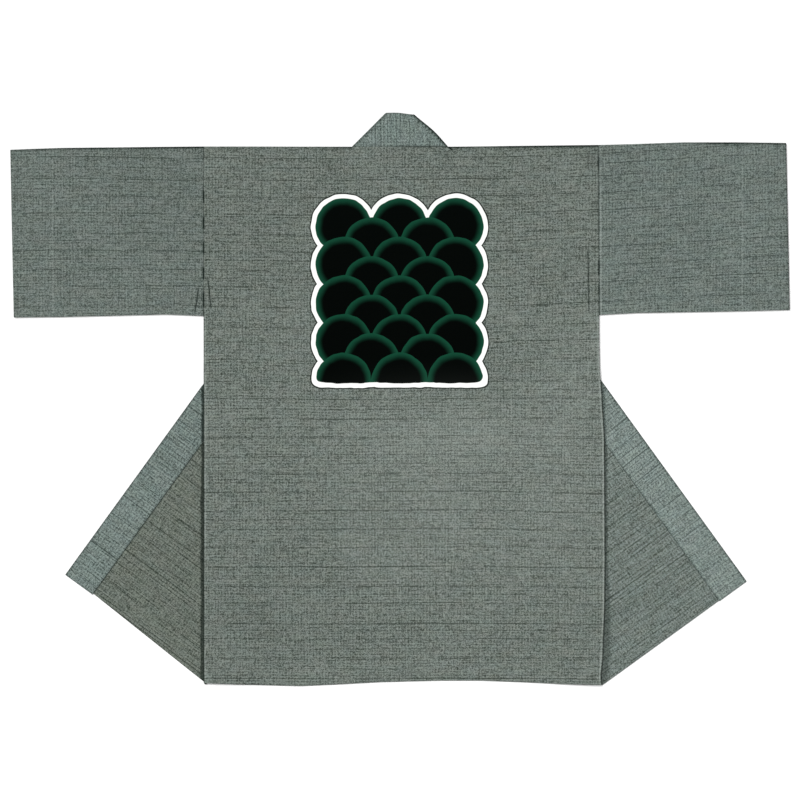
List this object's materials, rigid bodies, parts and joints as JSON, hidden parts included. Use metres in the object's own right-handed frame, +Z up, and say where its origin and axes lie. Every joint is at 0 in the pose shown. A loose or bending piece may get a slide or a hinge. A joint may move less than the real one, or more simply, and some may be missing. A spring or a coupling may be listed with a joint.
{
  "type": "happi coat laid flat",
  "caption": "Short open-fronted cotton coat lying flat, back up, with square sleeves spread and each front folded slantwise under so its corner and collar band show beside the back.",
  "frame": {"origin": "on the surface under the middle of the coat's outline", "axes": "+X along the spread sleeves, towards the wearer's right; +Y from the hem to the collar; +Z up from the surface, out of the coat's back"},
  "size_m": [1.2464, 0.9164, 0.0042],
  "materials": {
    "body_cotton": "matt grey-green slub cotton with a dyed dark green design on the back",
    "collar_cotton": "matt grey-green slub cotton, doubled"
  },
  "bodies": {
    "root": {"back": "body_cotton", "front_left": "body_cotton", "front_right": "body_cotton", "sleeve_left": "body_cotton", "sleeve_right": "body_cotton", "collar": "collar_cotton"}
  },
  "joints": []
}
